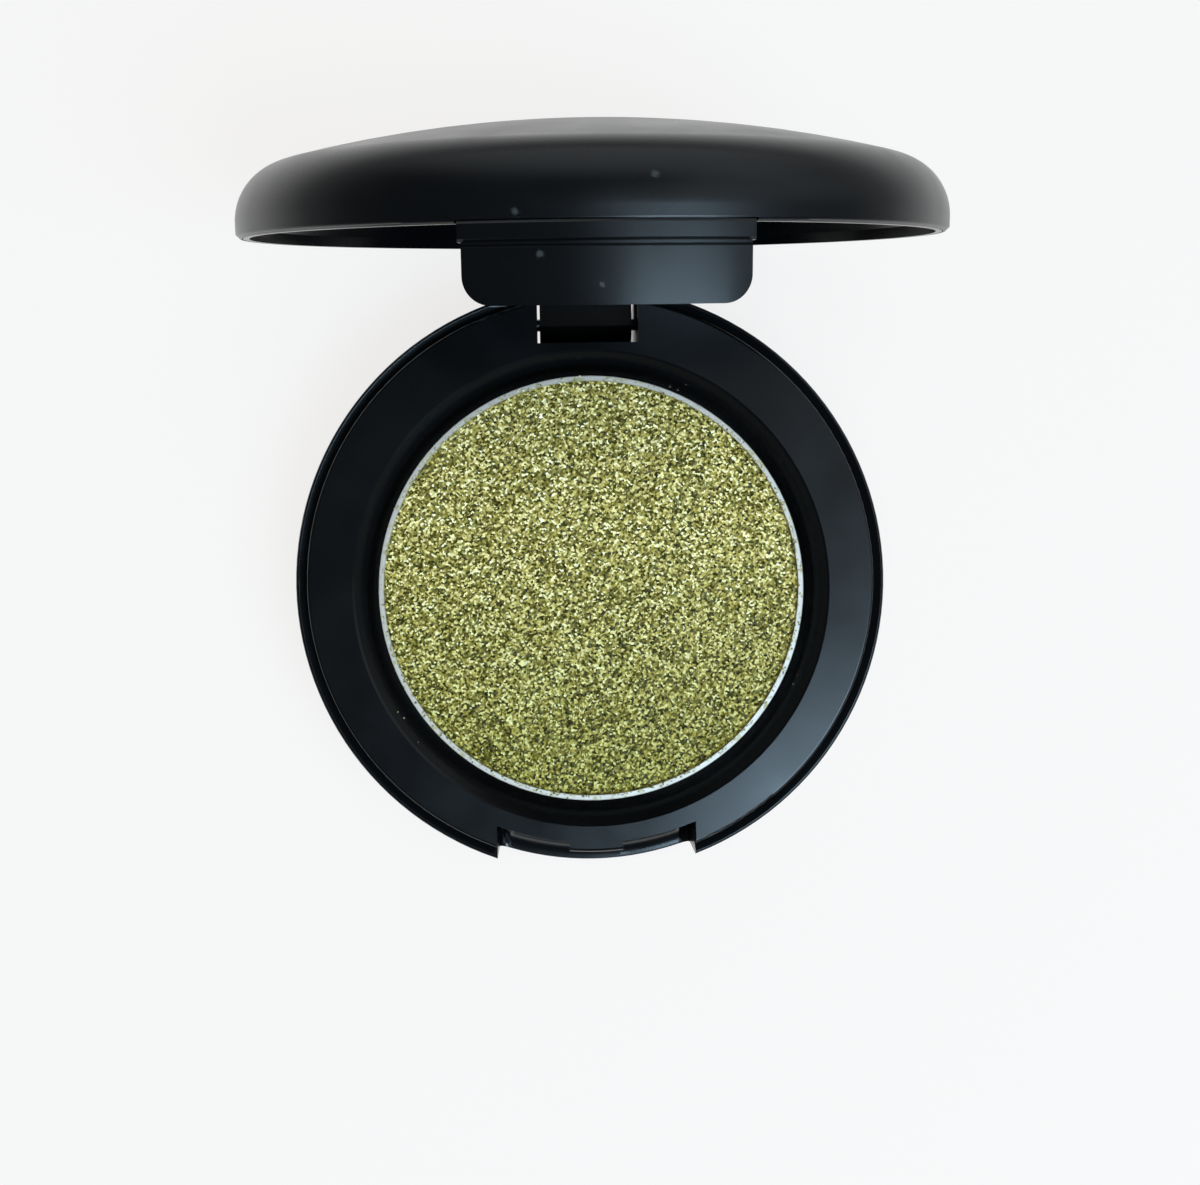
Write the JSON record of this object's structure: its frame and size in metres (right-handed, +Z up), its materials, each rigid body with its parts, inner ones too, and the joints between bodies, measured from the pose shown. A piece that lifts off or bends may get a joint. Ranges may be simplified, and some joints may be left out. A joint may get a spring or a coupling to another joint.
{
  "type": "eyeshadow compact",
  "caption": "Round black eyeshadow compact with a domed hinged lid, front thumb tab and finger notch, holding pressed powder in a metal pan.",
  "frame": {"origin": "centre of the base's flat bottom", "axes": "+Z up, -Y to the front where the finger notch is, +X to the right seen from the front; the hinge axis is parallel to X at the back"},
  "size_m": [0.0372, 0.0441, 0.0391],
  "materials": {
    "shell_black": "satin moulded",
    "tray_black": "gloss moulded",
    "pan_metal": "bare bright",
    "powder_olive": "pressed shimmer powder",
    "adhesive": "matte",
    "pin_steel": "drawn",
    "frame_black": "gloss moulded",
    "cover_black": "satin moulded"
  },
  "bodies": {
    "base": {"base_shell": "shell_black", "pan_tray": "tray_black", "powder_pan": "pan_metal", "powder_cake": "powder_olive", "pan_adhesive_disc": "adhesive", "hinge_pin": "pin_steel"},
    "lid": {"lid_frame": "frame_black", "lid_cover": "cover_black"}
  },
  "joints": [
    {"name": "lid_hinge", "type": "hinge", "parent": "base", "child": "lid", "pos_m": [0, 0.0169, 0.0031], "axis": [-1, 0, 0], "range_deg": [-79.7, 20.3]}
  ]
}
